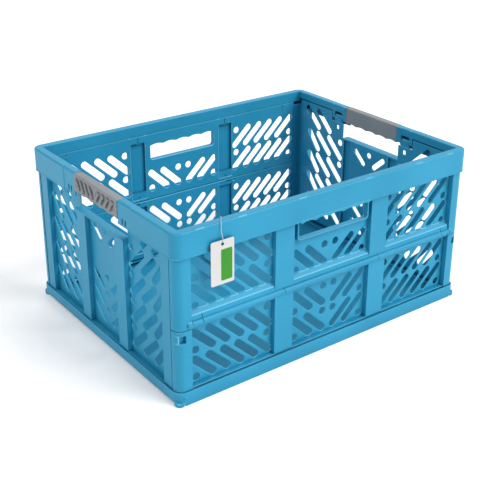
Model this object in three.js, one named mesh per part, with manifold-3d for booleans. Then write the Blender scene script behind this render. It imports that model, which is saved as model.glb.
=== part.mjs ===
// Collapsible storage crate, modelled as it stands open.
// Millimetres. X runs along the long sides, Y across, Z up; the origin is the centre of the footprint.
// The long sides are each split at mid-height and fold inward; the end flaps hang from the top frame.
import * as THREE from "three";
import Module from "manifold-3d";
import { mergeVertices } from "three/addons/utils/BufferGeometryUtils.js";

const wasm = await Module();
wasm.setup();

// ---- Driving dimensions ----
const LENGTH = 530;
const WIDTH = 400;
const HEIGHT = 250;
const SKIN = 2.4;
const GAP = 0.4;

// Top frame: a channel, open below, with a deep outer skirt and a short inner wall.
const FRAME_TOP_WIDTH = 14;
const SKIRT_HEIGHT = 36;
const FRAME_CORNER_RADIUS = 15;
const SIDE_INNER_WALL_BOTTOM = 232;
const END_INNER_WALL_BOTTOM = 238;

// Base tray.
const BASE_HEIGHT = 20;
const BASE_INSET = 1;
const FLOOR = 2;

// Long sides: w is the distance outward from the inner face of the panel.
const SIDE_PLANE = WIDTH / 2 - FRAME_TOP_WIDTH;
const PANEL_DEPTH = 10.5;
const HINGE_W = 2.6;
const BASE_AXIS = 9.5;
const MID_AXIS = 117;
const FRAME_AXIS = 2 * MID_AXIS - BASE_AXIS;
const MID_W = 9;
const POST_INNER_X = 239;
const POST_OUTER_X = 261.5;
const POST_INNER_W = -4.5;
const POST_SPLIT = 111;
const POST_RADIUS = 12;
const SIDE_RIB = [71, 103];
const HAND_HOLE_HALF = 63;
const HAND_HOLE = [187, 213.4];

// Hinge knuckles and rods.
const ROD_RADIUS = 1.5;
const KNUCKLE_RADIUS = 3.4;
const BARREL_RADIUS = 4.3;
const BARREL_BREAKS = [88, 222];
const ROD_HALF = 237.5;

// End flaps: w is the distance outward from the flap's inner face.
const FLAP_PLANE = LENGTH / 2 - FRAME_TOP_WIDTH;
const FLAP_HALF = 179.6;
const FLAP_AXIS_W = 4;
const FLAP_AXIS = 230;
const FLAP_DEPTH = 10;
const FLAP_BOTTOM = 13;
const FLAP_TOP = 236;
const FLAP_RIB = [42, 66];
const FLAP_EDGE = 160;
const EAR_START = 97;
const LEDGE = 195;
const HANDLE_HALF = 66;
const LUG = [71.5, 88.5];
const PIN = [66.6, 93.4];

// Soft grips on the end bars.
const GRIP_HALF = 60;
const GRIP_WALL = 2.6;

// Slots and holes.
const SLOT_WIDTH = 10;
const ROUND_HOLE = 11;
const SIDE_ROWS = { lower: [44, 85], upper: [150, 191] };
const FLAP_ROWS = [47, 88, 129, 170, 211];

// Hang tag.
const TAG_X = -195.5;
const TAG_TOP = 227.5;
const TAG_SIZE = [36, 62, 0.8];
const TAG_Y = -203.2;
const EYELET_Z = TAG_TOP - 5.5;
const THREAD_RADIUS = 0.4;

// ---- Solids ----
function solid(geometry) {
  const bare = geometry.clone();
  bare.deleteAttribute("normal");
  bare.deleteAttribute("uv");
  const merged = mergeVertices(bare, 1e-4);
  const mesh = new wasm.Mesh({
    numProp: 3,
    vertProperties: new Float32Array(merged.attributes.position.array),
    triVerts: new Uint32Array(merged.index.array),
  });
  return new wasm.Manifold(mesh);
}

function geometryOf(body) {
  const mesh = body.getMesh();
  const geometry = new THREE.BufferGeometry();
  geometry.setAttribute("position", new THREE.BufferAttribute(mesh.vertProperties, 3));
  geometry.setIndex(new THREE.BufferAttribute(mesh.triVerts, 1));
  geometry.computeVertexNormals();
  return geometry;
}

function join(bodies) {
  return bodies.reduce((whole, body) => whole.add(body));
}

function cut(body, tools) {
  return tools.reduce((left, tool) => left.subtract(tool), body);
}

function box(x, y, z) {
  const geometry = new THREE.BoxGeometry(x[1] - x[0], y[1] - y[0], z[1] - z[0]);
  geometry.translate((x[0] + x[1]) / 2, (y[0] + y[1]) / 2, (z[0] + z[1]) / 2);
  return solid(geometry);
}

function mirrored(range, side) {
  return [side * range[0], side * range[1]].sort((a, b) => a - b);
}

function rodAlongX(radius, x, y, z, segments = 8) {
  const geometry = new THREE.CylinderGeometry(radius, radius, x[1] - x[0], segments);
  geometry.rotateZ(Math.PI / 2);
  geometry.translate((x[0] + x[1]) / 2, y, z);
  return solid(geometry);
}

function rodAlongY(radius, y, x, z, segments = 8) {
  const geometry = new THREE.CylinderGeometry(radius, radius, y[1] - y[0], segments);
  geometry.translate(x, (y[0] + y[1]) / 2, z);
  return solid(geometry);
}

function shapeOf(points) {
  return new THREE.Shape(points.map(([x, y]) => new THREE.Vector2(x, y)));
}

function roundedRect(halfX, halfY, radius) {
  const shape = new THREE.Shape();
  shape.moveTo(halfX - radius, -halfY);
  shape.absarc(halfX - radius, -halfY + radius, radius, -Math.PI / 2, 0);
  shape.absarc(halfX - radius, halfY - radius, radius, 0, Math.PI / 2);
  shape.absarc(-halfX + radius, halfY - radius, radius, Math.PI / 2, Math.PI);
  shape.absarc(-halfX + radius, -halfY + radius, radius, Math.PI, 1.5 * Math.PI);
  return shape;
}

function slab(halfX, halfY, radius, z) {
  const options = { depth: z[1] - z[0], bevelEnabled: false, curveSegments: 5 };
  const geometry = new THREE.ExtrudeGeometry(roundedRect(halfX, halfY, radius), options);
  geometry.translate(0, 0, z[0]);
  return solid(geometry);
}

// A slanted slot with pointed ends, and a six-sided hole, as holes in a panel outline.
function slot(centre, halfRun, halfRise) {
  const length = Math.hypot(halfRun, halfRise);
  const along = [halfRun / length, halfRise / length];
  const half = SLOT_WIDTH / 2;
  const corners = [[length, half], [length + half * 0.8, 0], [length, -half],
    [-length, -half], [-length - half * 0.8, 0], [-length, half]];
  const points = corners.map(([a, b]) => new THREE.Vector2(
    centre[0] + a * along[0] - b * along[1], centre[1] + a * along[1] + b * along[0]));
  return new THREE.Path(points);
}

function roundHole(centre) {
  const path = new THREE.Path();
  const points = [];
  for (let i = 0; i < 6; i += 1) {
    const angle = (i * Math.PI) / 3;
    points.push(new THREE.Vector2(
      centre[0] + (ROUND_HOLE / 2) * Math.cos(angle), centre[1] + (ROUND_HOLE / 2) * Math.sin(angle)));
  }
  path.setFromPoints(points);
  return path;
}

// ---- Long side panels, built as the front (-Y) side ----
const sideY = (w) => -(SIDE_PLANE + w);

// An outline in (x, z), extruded outward from w0 to w1.
function sidePlate(shape, w0, w1) {
  const geometry = new THREE.ExtrudeGeometry(shape, { depth: w1 - w0, bevelEnabled: false, curveSegments: 4 });
  geometry.rotateX(Math.PI / 2);
  geometry.translate(0, sideY(w0), 0);
  return solid(geometry);
}

// A profile in (w, z), extruded along X.
function sideRail(points, x) {
  const geometry = new THREE.ExtrudeGeometry(shapeOf(points), { depth: x[1] - x[0], bevelEnabled: false });
  geometry.applyMatrix4(new THREE.Matrix4().set(
    0, 0, -1, x[1],
    -1, 0, 0, -SIDE_PLANE,
    0, 1, 0, 0,
    0, 0, 0, 1));
  return solid(geometry);
}

function outerBayHoles(rowCentre, side) {
  const holes = [];
  for (let i = 0; i < 5; i += 1) {
    holes.push(slot([side * (122.6 + 23.4 * i), rowCentre], side * 14, 13.5));
  }
  holes.push(roundHole([side * 111, rowCentre + 13]));
  holes.push(roundHole([side * 229, rowCentre - 13]));
  return holes;
}

function middleBayHoles(rowCentre, side) {
  return [
    slot([side * 25, rowCentre], side * 14, 13.5),
    slot([side * 48.5, rowCentre], side * 14, 13.5),
    roundHole([side * 11, rowCentre + 13]),
    roundHole([side * 61, rowCentre - 13]),
  ];
}

function sideOutline(z, rows, middleRows) {
  const half = POST_INNER_X + 3;
  const outline = shapeOf([[-half, z[0]], [half, z[0]], [half, z[1]], [-half, z[1]]]);
  for (const side of [-1, 1]) {
    rows.forEach((row) => outline.holes.push(...outerBayHoles(row, side)));
    middleRows.forEach((row) => outline.holes.push(...middleBayHoles(row, side)));
  }
  return outline;
}

// A corner post: a rounded column, hollow toward the crate, standing between two heights.
function post(side, z) {
  const inner = side * POST_INNER_X;
  const outer = side * POST_OUTER_X;
  const centre = side * (POST_OUTER_X - POST_RADIUS);
  const outline = new THREE.Shape();
  outline.moveTo(inner, sideY(POST_INNER_W + 4.5));
  outline.lineTo(inner, sideY(PANEL_DEPTH));
  outline.lineTo(centre, sideY(PANEL_DEPTH));
  const start = -Math.PI / 2;
  const end = side > 0 ? 0 : -Math.PI;
  outline.absarc(centre, sideY(PANEL_DEPTH - POST_RADIUS), POST_RADIUS, start, end, side < 0);
  outline.lineTo(outer, sideY(POST_INNER_W));
  outline.lineTo(outer - side * 9, sideY(POST_INNER_W));
  outline.lineTo(outer - side * 9, sideY(POST_INNER_W + 4.5));
  const options = { depth: z[1] - z[0], bevelEnabled: false, curveSegments: 5 };
  const geometry = new THREE.ExtrudeGeometry(outline, options);
  geometry.translate(0, 0, z[0]);
  const column = solid(geometry);
  const hollowX = [inner + side * 4, outer - side * SKIN].sort((a, b) => a - b);
  const hollow = box(hollowX, [sideY(POST_INNER_W + 7), sideY(-20)], [z[0] + 4, z[1] - 6]);
  const openX = [outer - side * 9, outer - side * SKIN].sort((a, b) => a - b);
  const keepSkin = box(openX, [sideY(POST_INNER_W + 4.5), sideY(-20)], [z[0] + 4, z[1] - 6]);
  return cut(column, [hollow.subtract(keepSkin)]);
}

// A vertical rib: a channel, open toward the crate.
function rib(side, z) {
  const x = [side * SIDE_RIB[0], side * SIDE_RIB[1]].sort((a, b) => a - b);
  const shell = box(x, [sideY(PANEL_DEPTH - 1), sideY(0)], z);
  const channel = box([x[0] + SKIN, x[1] - SKIN], [sideY(PANEL_DEPTH - 1 - SKIN), sideY(-5)], [z[0] + 2, z[1] - 2]);
  return { shell, channel };
}

const lowerSegments = [[-POST_INNER_X, -BARREL_BREAKS[1]], [-BARREL_BREAKS[0], BARREL_BREAKS[0]],
  [BARREL_BREAKS[1], POST_INNER_X]];
const upperSegments = [[-BARREL_BREAKS[1], -BARREL_BREAKS[0]], [BARREL_BREAKS[0], BARREL_BREAKS[1]]];

function barrel(segments, radius, grow) {
  return segments.map(([a, b]) => rodAlongX(radius, [a - grow, b + grow], sideY(MID_W), MID_AXIS));
}

// Knuckles on an edge axis: the panel's lie between those of the base or the frame.
const edgeKnuckles = [-200, -120, 0, 120, 200].map((x) => [x - 14, x + 14]);

function edgeHinge(axis, radius, grow) {
  return edgeKnuckles.map(([a, b]) => rodAlongX(radius, [a - grow, b + grow], sideY(HINGE_W), axis));
}

function lowerSide() {
  const bottom = BASE_HEIGHT + 0.6;
  const plate = sidePlate(sideOutline([14, MID_AXIS - GAP], SIDE_ROWS.lower, SIDE_ROWS.lower), 0, SKIN);
  const ribs = [-1, 1].map((side) => rib(side, [bottom, MID_AXIS - 8]));
  const posts = [-1, 1].map((side) => post(side, [bottom, POST_SPLIT - GAP - 0.2]));
  const lip = sideRail([[0, MID_AXIS - GAP], [0, 108], [SKIN, 108], [MID_W + 1, 111.5],
    [MID_W + 1, MID_AXIS - GAP]], [-POST_INNER_X - 1, POST_INNER_X + 1]);
  const foot = sideRail([[0, bottom], [PANEL_DEPTH - 1, bottom], [PANEL_DEPTH - 1, bottom + 2], [0, bottom + 2]],
    [-POST_INNER_X - 1, POST_INNER_X + 1]);
  const webs = edgeKnuckles.map(([a, b]) => box([a, b], [sideY(SKIN), sideY(0)], [BASE_AXIS, 16]));
  let body = join([plate, ...ribs.map((r) => r.shell), ...posts, lip, foot]);
  body = cut(body, ribs.map((r) => r.channel));
  body = cut(body, barrel(upperSegments, BARREL_RADIUS + GAP, GAP));
  body = join([body, ...barrel(lowerSegments, BARREL_RADIUS, -GAP / 2), ...webs]);
  body = join([body, ...edgeHinge(BASE_AXIS, KNUCKLE_RADIUS, 0)]);
  const ends = [-1, 1].map((side) => box(mirrored([POST_INNER_X - GAP, POST_OUTER_X + 1], side),
    [sideY(PANEL_DEPTH + 1), sideY(-6)], [POST_SPLIT - GAP - 0.2, MID_AXIS + 6]));
  return cut(body, [...ends, rodAlongX(ROD_RADIUS + GAP, [-ROD_HALF - GAP, ROD_HALF + GAP], sideY(MID_W), MID_AXIS),
    rodAlongX(ROD_RADIUS + GAP, [-ROD_HALF - GAP, ROD_HALF + GAP], sideY(HINGE_W), BASE_AXIS)]);
}

function upperSide() {
  const top = FRAME_AXIS + 6;
  const outline = sideOutline([MID_AXIS + GAP, top], SIDE_ROWS.upper, [SIDE_ROWS.upper[0]]);
  const handHole = shapeOf([[-HAND_HOLE_HALF, HAND_HOLE[0]], [HAND_HOLE_HALF, HAND_HOLE[0]],
    [HAND_HOLE_HALF, HAND_HOLE[1]], [-HAND_HOLE_HALF, HAND_HOLE[1]]]);
  outline.holes.push(handHole);
  const plate = sidePlate(outline, 0, SKIN);
  const ribTop = HEIGHT - SKIRT_HEIGHT + 6;
  const ribs = [-1, 1].map((side) => rib(side, [MID_AXIS + 8, ribTop]));
  const posts = [-1, 1].map((side) => post(side, [POST_SPLIT, FRAME_AXIS + 2]));
  const rail = sideRail([[0, MID_AXIS + GAP], [MID_W + 1, MID_AXIS + GAP], [MID_W + 1, 122.5], [SKIN, 133], [0, 133]],
    [-POST_INNER_X - 1, POST_INNER_X + 1]);
  const frameZ = [HAND_HOLE[0] - SKIN, HAND_HOLE[1] + SKIN];
  const rim = box([-HAND_HOLE_HALF - SKIN, HAND_HOLE_HALF + SKIN], [sideY(PANEL_DEPTH - 1.5), sideY(0)], frameZ);
  const hole = box([-HAND_HOLE_HALF, HAND_HOLE_HALF], [sideY(PANEL_DEPTH + 5), sideY(-5)], HAND_HOLE);
  const knuckleWebs = edgeKnuckles.map(([a, b]) => box([a, b], [sideY(SKIN), sideY(0)], [FRAME_AXIS - 6, FRAME_AXIS]));
  let body = join([plate, ...ribs.map((r) => r.shell), ...posts, rail, rim]);
  body = cut(body, [...ribs.map((r) => r.channel), hole]);
  body = cut(body, barrel(lowerSegments, BARREL_RADIUS + GAP, GAP));
  body = join([body, ...barrel(upperSegments, BARREL_RADIUS, -GAP / 2), ...knuckleWebs]);
  body = join([body, ...edgeHinge(FRAME_AXIS, KNUCKLE_RADIUS, 0)]);
  const notches = bearingX.map((x) => box([x - 7.6, x + 7.6], [sideY(PANEL_DEPTH + 1), sideY(-1)],
    [FRAME_AXIS - 4.3, top + 1]));
  return cut(body, [rodAlongX(ROD_RADIUS + GAP, [-ROD_HALF - GAP, ROD_HALF + GAP], sideY(MID_W), MID_AXIS),
    rodAlongX(ROD_RADIUS + GAP, [-ROD_HALF - GAP, ROD_HALF + GAP], sideY(HINGE_W), FRAME_AXIS), ...notches]);
}

function rodAt(w, axis) {
  return rodAlongX(ROD_RADIUS, [-ROD_HALF, ROD_HALF], sideY(w), axis);
}

// Bearing blocks beside the panel's knuckles, on the base or on the frame.
const bearingX = [-225, -160, -60, 60, 160, 225];

function bearings(z, axis) {
  const y = [sideY(PANEL_DEPTH + 1.2), sideY(0)];
  const blocks = bearingX.map((x) => box([x - 7, x + 7], y, z));
  return cut(join(blocks), [rodAlongX(ROD_RADIUS + GAP / 2, [-ROD_HALF - GAP, ROD_HALF + GAP], sideY(HINGE_W), axis)]);
}

function bothSides(body) {
  return [body, body.rotate([0, 0, 180])];
}

// ---- Base tray and top frame ----
function baseTray() {
  const x = LENGTH / 2 - BASE_INSET;
  const y = WIDTH / 2 - BASE_INSET;
  const radius = FRAME_CORNER_RADIUS - BASE_INSET;
  const outer = slab(x, y, radius, [0, BASE_HEIGHT]);
  const deep = slab(x - 3 * SKIN, y - SKIN, radius - SKIN, [FLOOR, BASE_HEIGHT + 1]);
  const wide = slab(x - SKIN, y - SKIN, radius - SKIN, [FLOOR + 5, BASE_HEIGHT + 1]);
  const step = box([-x - 1, -x + 2], [-y + 15, y - 15], [-1, FLOOR + 2.5]);
  const body = cut(outer, [deep, wide, ...bothSides(step)]);
  return join([body, ...bothSides(bearings([FLOOR - 0.5, BASE_AXIS + 2.5], BASE_AXIS))]);
}

const leftX = (w) => -(FLAP_PLANE + w);

// A box given by the flap's own distances: outward w, along y, up z.
function endBox(w, y, z) {
  return box([leftX(w[1]), leftX(w[0])], y, z);
}

function topFrame() {
  const x = LENGTH / 2;
  const y = WIDTH / 2;
  const bottom = HEIGHT - SKIRT_HEIGHT;
  const inset = FRAME_TOP_WIDTH;
  let body = slab(x, y, FRAME_CORNER_RADIUS, [bottom, HEIGHT]);
  body = cut(body, [slab(x - SKIN, y - SKIN, FRAME_CORNER_RADIUS - SKIN, [bottom - 1, HEIGHT - SKIN])]);
  body = body.add(slab(x - inset + SKIN, y - inset + SKIN, 4 + SKIN, [SIDE_INNER_WALL_BOTTOM, HEIGHT - 1]));
  body = cut(body, [slab(x - inset, y - inset, 4, [SIDE_INNER_WALL_BOTTOM - 1, HEIGHT + 1])]);
  body = cut(body, bothSides(endBox([-0.5, SKIN + 0.5], [-y + inset, y - inset],
    [SIDE_INNER_WALL_BOTTOM - 1, END_INNER_WALL_BOTTOM])));
  body = join([body, ...bothSides(bearings([FRAME_AXIS - 3, HEIGHT - 1], FRAME_AXIS))]);
  const gripGap = endBox([-1, inset + 1], [-GRIP_HALF - 0.6, GRIP_HALF + 0.6], [bottom - 1, HEIGHT + 1]);
  body = cut(body, bothSides(gripGap));
  const ends = [];
  const bores = [];
  for (const side of [-1, 1]) {
    ends.push(endBox([0, inset - 2], mirrored([GRIP_HALF + 0.6, LUG[0] - 0.6], side), [FLAP_AXIS - 6, HEIGHT - 1]));
    ends.push(endBox([0, inset - 2], mirrored([LUG[1] + 0.6, EAR_START - 2], side), [FLAP_AXIS - 4.5, HEIGHT - 1]));
    const bore = mirrored([PIN[0] - 0.3, PIN[1] + 0.3], side);
    bores.push(rodAlongY(ROD_RADIUS + GAP / 2, bore, leftX(FLAP_AXIS_W), FLAP_AXIS));
  }
  ends.push(endBox([GRIP_WALL, inset - GRIP_WALL], [-GRIP_HALF - 2, GRIP_HALF + 2], [224, HEIGHT - GRIP_WALL - 0.3]));
  body = join([body, ...ends.flatMap(bothSides)]);
  return cut(body, bores.flatMap(bothSides));
}

function grip() {
  const y = [-GRIP_HALF, GRIP_HALF];
  const sleeve = endBox([0, FRAME_TOP_WIDTH], y, [224 - GRIP_WALL, HEIGHT]);
  const bar = endBox([GRIP_WALL - 0.3, FRAME_TOP_WIDTH - GRIP_WALL + 0.3], [y[0] - 1, y[1] + 1],
    [223.7, HEIGHT - GRIP_WALL]);
  return cut(sleeve, [bar]);
}

// ---- End flap, built as the left (-X) flap ----
function flapPlate(outline, w0, w1) {
  const geometry = new THREE.ExtrudeGeometry(outline, { depth: w1 - w0, bevelEnabled: false });
  geometry.applyMatrix4(new THREE.Matrix4().set(
    0, 0, 1, leftX(w1),
    1, 0, 0, 0,
    0, 1, 0, 0,
    0, 0, 0, 1));
  return solid(geometry);
}

function flapOutline() {
  const lugTop = FLAP_AXIS - 10;
  const right = [[FLAP_HALF, FLAP_BOTTOM], [FLAP_HALF, FLAP_TOP], [EAR_START, FLAP_TOP], [EAR_START, lugTop],
    [HANDLE_HALF, lugTop], [HANDLE_HALF, LEDGE]];
  const left = right.map(([y, z]) => [-y, z]).reverse();
  const outline = shapeOf([...right, ...left]);
  for (const side of [-1, 1]) {
    for (const row of FLAP_ROWS) {
      const first = row > LEDGE ? 1 : 0;
      for (let i = first; i < 3; i += 1) {
        outline.holes.push(slot([side * (87 + 29 * i), row], side * 14, 13.5));
      }
    }
    for (const row of FLAP_ROWS.slice(0, 4)) {
      outline.holes.push(roundHole([side * 73, row + 13.5]));
    }
    for (const row of [43, 70, 97, 172]) {
      outline.holes.push(slot([side * 23, row], side * 10, 8.5));
    }
  }
  for (const row of [52, 79, 106, 181]) {
    outline.holes.push(roundHole([0, row]));
  }
  return outline;
}

function flapChannel(y, z) {
  const shell = endBox([0, FLAP_DEPTH], y, z);
  const hollow = endBox([-1, FLAP_DEPTH - SKIN], [y[0] + SKIN, y[1] - SKIN], [z[0] + SKIN, z[1] - SKIN]);
  return { shell, hollow };
}

function endFlap() {
  const channels = [];
  const lugs = [];
  for (const side of [-1, 1]) {
    channels.push(flapChannel(mirrored(FLAP_RIB, side), [FLAP_BOTTOM, LEDGE]));
    channels.push(flapChannel(mirrored([FLAP_EDGE, FLAP_HALF], side), [FLAP_BOTTOM, FLAP_AXIS - 7]));
    const y = mirrored(LUG, side);
    lugs.push(endBox([0, SKIN + 2], y, [FLAP_AXIS - 14, FLAP_AXIS]));
    lugs.push(rodAlongY(KNUCKLE_RADIUS, y, leftX(FLAP_AXIS_W), FLAP_AXIS));
  }
  const ledge = endBox([0, FLAP_DEPTH + 3], [-HANDLE_HALF, HANDLE_HALF], [LEDGE - SKIN, LEDGE]);
  const foot = endBox([0, FLAP_DEPTH], [-FLAP_HALF, FLAP_HALF], [FLAP_BOTTOM, FLAP_BOTTOM + SKIN]);
  let body = join([flapPlate(flapOutline(), 0, SKIN), ...channels.map((c) => c.shell)]);
  body = cut(body, channels.map((c) => c.hollow));
  body = join([body, ledge, foot, ...lugs]);
  const bores = [-1, 1].map((side) => rodAlongY(ROD_RADIUS + GAP / 2, mirrored([PIN[0], PIN[1]], side),
    leftX(FLAP_AXIS_W), FLAP_AXIS));
  return cut(body, bores);
}

function flapPin(side) {
  return rodAlongY(ROD_RADIUS, mirrored(PIN, side), leftX(FLAP_AXIS_W), FLAP_AXIS);
}

// ---- Hang tag ----
function tagCard() {
  const [width, height, thick] = TAG_SIZE;
  const outline = roundedRect(width / 2, height / 2, 2.5);
  const hole = new THREE.Path();
  hole.absarc(0, EYELET_Z - TAG_TOP + height / 2, 2.6, 0, 2 * Math.PI);
  outline.holes.push(hole);
  const geometry = new THREE.ExtrudeGeometry(outline, { depth: thick, bevelEnabled: false, curveSegments: 5 });
  geometry.rotateX(Math.PI / 2);
  geometry.translate(TAG_X, TAG_Y, TAG_TOP - height / 2);
  return geometry;
}

function tagEyelet() {
  const profile = [[1.3, -0.5], [2.3, -0.5], [2.3, 1.3], [1.3, 1.3], [1.3, -0.5]];
  const geometry = new THREE.LatheGeometry(profile.map(([r, h]) => new THREE.Vector2(r, h)), 16);
  geometry.translate(TAG_X, TAG_Y - TAG_SIZE[2], EYELET_Z);
  return geometry;
}

// The thread leaves the eyelet, passes over the frame and comes back out through a slot below the skirt.
function tagThread() {
  const inside = -SIDE_PLANE + 1.5;
  const outside = -WIDTH / 2 - 1.2;
  const over = HEIGHT + 1;
  const route = [[0, -204.9, 225], [0, -204.7, 229], [0, outside, 239], [0, outside, 249], [1, -199.5, over],
    [9.5, -187, over], [10, inside, 248.5], [2, inside, 204], [0, -187, 196.5], [0, -193, 196],
    [0, outside, 207], [0, -202.2, 216]];
  const points = route.map(([dx, y, z]) => new THREE.Vector3(TAG_X + dx, y, z));
  const path = new THREE.CatmullRomCurve3(points, false, "centripetal");
  const section = new THREE.Shape();
  section.absarc(0, 0, THREAD_RADIUS, 0, 2 * Math.PI);
  return new THREE.ExtrudeGeometry(section, { steps: 56, extrudePath: path, curveSegments: 3, bevelEnabled: false });
}

// ---- Assembly ----
const blue = { color: 0x55a8cf, roughness: 0.45, metalness: 0 };
const grey = { color: 0x8b9094, roughness: 0.85, metalness: 0 };
const steel = { color: 0xb8bcc0, roughness: 0.35, metalness: 0.9 };
const card = { color: 0xf4f4f2, roughness: 0.7, metalness: 0 };
const crate = new THREE.Group();

function addMesh(name, geometry, look, turned = false) {
  const mesh = new THREE.Mesh(geometry, new THREE.MeshStandardMaterial(look));
  mesh.name = name;
  if (turned) mesh.rotation.z = Math.PI;
  crate.add(mesh);
}

addMesh("base_tray", geometryOf(baseTray()), blue);
addMesh("top_frame", geometryOf(topFrame()), blue);

const sideParts = [
  ["lower_side", geometryOf(lowerSide()), blue],
  ["upper_side", geometryOf(upperSide()), blue],
  ["base_hinge_rod", geometryOf(rodAt(HINGE_W, BASE_AXIS)), steel],
  ["mid_hinge_rod", geometryOf(rodAt(MID_W, MID_AXIS)), steel],
  ["frame_hinge_rod", geometryOf(rodAt(HINGE_W, FRAME_AXIS)), steel],
];
for (const [name, geometry, look] of sideParts) {
  addMesh(`${name}_front`, geometry, look);
  addMesh(`${name}_back`, geometry, look, true);
}

const endParts = [
  ["end_flap", geometryOf(endFlap()), blue],
  ["grip", geometryOf(grip()), grey],
];
for (const [name, geometry, look] of endParts) {
  addMesh(`${name}_left`, geometry, look);
  addMesh(`${name}_right`, geometry, look, true);
}
for (const [place, side] of [["a", -1], ["b", 1]]) {
  addMesh(`flap_pin_left_${place}`, geometryOf(flapPin(side)), steel);
  addMesh(`flap_pin_right_${place}`, geometryOf(flapPin(side)), steel, true);
}

addMesh("hang_tag", tagCard(), card);
addMesh("tag_eyelet", tagEyelet(), steel);
addMesh("tag_thread", tagThread(), card);

export default crate;
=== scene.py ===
import math

import bmesh
import bpy
from mathutils import Matrix, Vector


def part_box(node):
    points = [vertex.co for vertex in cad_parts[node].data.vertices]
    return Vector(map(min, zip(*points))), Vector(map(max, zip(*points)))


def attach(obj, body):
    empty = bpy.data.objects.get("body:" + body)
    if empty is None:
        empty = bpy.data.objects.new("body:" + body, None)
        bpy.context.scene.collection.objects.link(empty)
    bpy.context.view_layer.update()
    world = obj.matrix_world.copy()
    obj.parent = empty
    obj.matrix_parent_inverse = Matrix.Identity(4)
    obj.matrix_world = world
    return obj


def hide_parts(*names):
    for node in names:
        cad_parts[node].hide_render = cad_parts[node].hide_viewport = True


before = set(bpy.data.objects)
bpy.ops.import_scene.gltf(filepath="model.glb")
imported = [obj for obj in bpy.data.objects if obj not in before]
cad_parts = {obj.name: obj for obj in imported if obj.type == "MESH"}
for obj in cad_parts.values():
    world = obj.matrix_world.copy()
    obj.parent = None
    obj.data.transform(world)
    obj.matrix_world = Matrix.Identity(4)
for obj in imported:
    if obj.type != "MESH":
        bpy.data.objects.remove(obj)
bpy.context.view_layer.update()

# Lengths are in metres. MM turns millimetres into metres.
MM = 0.001

# ---- Sizes, from the frame where it holds them ----
frame_low, frame_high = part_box("top_frame")
_, base_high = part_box("base_tray")
_, post_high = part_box("lower_side_front")
flap_low, flap_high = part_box("end_flap_left")
grip_low, grip_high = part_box("grip_left")
tag_low, tag_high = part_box("hang_tag")

# The crate as a whole. A distance w is measured outward from a panel's inner plane.
HALF_LENGTH = frame_high[0]
HALF_WIDTH = frame_high[1]
TOP = frame_high[2]
SKIRT_BOTTOM = frame_low[2]
BASE_TOP = base_high[2]
RIM_WIDTH = 14 * MM
SKIN = 2.4 * MM
CORNER = 15 * MM
SIDE_PLANE = HALF_WIDTH - RIM_WIDTH
END_PLANE = HALF_LENGTH - RIM_WIDTH

# Edges, slots and ribs that every panel shares.
EDGE = 0.6 * MM
FINE_EDGE = 0.2 * MM
RAIL_EDGE = 0.3 * MM
RIB_EDGE = 0.8 * MM
SLOT_EDGE = 1.1 * MM
SLOT_RADIUS = 5.6 * MM
SLOT_RUN = 14.6 * MM
SLOT_RISE = 13.8 * MM
HOLE_RADIUS = 5.6 * MM
HOLE_RISE = 13 * MM
INSET = 0.5 * MM
RECESS = 5 * MM
RIB_WALL = SKIN * 1.1

# Long sides, with their posts and ribs.
PANEL_DEPTH = 10.5 * MM
POST_INNER = 239 * MM
POST_OUTER = post_high[0]
POST_INNER_W = -4.5 * MM
POST_LEG = 9 * MM
POST_SPLIT = 111 * MM
POST_RADIUS = 12 * MM
POCKET = (248 * MM, 257 * MM)
POCKET_DEPTH = 5 * MM
POCKET_SPAN = (93 * MM, 104 * MM)
SIDE_RIB = (71 * MM, 103 * MM)
SIDE_RIB_DEPTH = PANEL_DEPTH - 1 * MM
SIDE_ROWS = {"lower": (44 * MM, 85 * MM), "upper": (150 * MM, 191 * MM)}
OUTER_SLOTS = tuple((122.6 + 23.4 * i) * MM for i in range(5))
OUTER_HOLES = (111 * MM, 229 * MM)
MIDDLE_SLOTS = (25 * MM, 48.5 * MM)
MIDDLE_HOLES = (10 * MM, 62 * MM)
HAND_HOLE_HALF = 63 * MM
HAND_HOLE = (187 * MM, 213.2 * MM)
HAND_HOLE_RADIUS = 4 * MM
HAND_HOLE_SCALLOP = 2.2 * MM
SKIRT_SCALLOP = 2.6 * MM
FINGERS = 5
SCALLOP_STEPS = 9

# Hinges of the long sides.
MID_AXIS = 117 * MM
MID_W = 9 * MM
HINGE_W = 2.6 * MM
BASE_AXIS = 9.5 * MM
FRAME_AXIS = 2 * MID_AXIS - BASE_AXIS
SEAM = 0.4 * MM
RAIL_GAP = 0.35 * MM
BARREL_GAP = 0.45 * MM
BARREL_RADIUS = 4.3 * MM
BARREL_BREAKS = (88 * MM, 222 * MM)
OUTER_BARREL = 238.5 * MM
LOWER_SEGMENTS = ((-OUTER_BARREL, -BARREL_BREAKS[1]), (-BARREL_BREAKS[0], BARREL_BREAKS[0]),
                  (BARREL_BREAKS[1], OUTER_BARREL))
UPPER_SEGMENTS = ((-BARREL_BREAKS[1], -BARREL_BREAKS[0]), (BARREL_BREAKS[0], BARREL_BREAKS[1]))
ALL_SEGMENTS = tuple(sorted(LOWER_SEGMENTS + UPPER_SEGMENTS))
KNUCKLE_RADIUS = 2.1 * MM
KNUCKLE_HALF = 14 * MM
KNUCKLE_PLACES = tuple(x * MM for x in (-200, -120, 0, 120, 200))
BEARING_HALF = 7 * MM
BEARING_W = 11.5 * MM
BEARING_PLACES = tuple(x * MM for x in (-225, -160, -60, 60, 160, 225))

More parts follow.
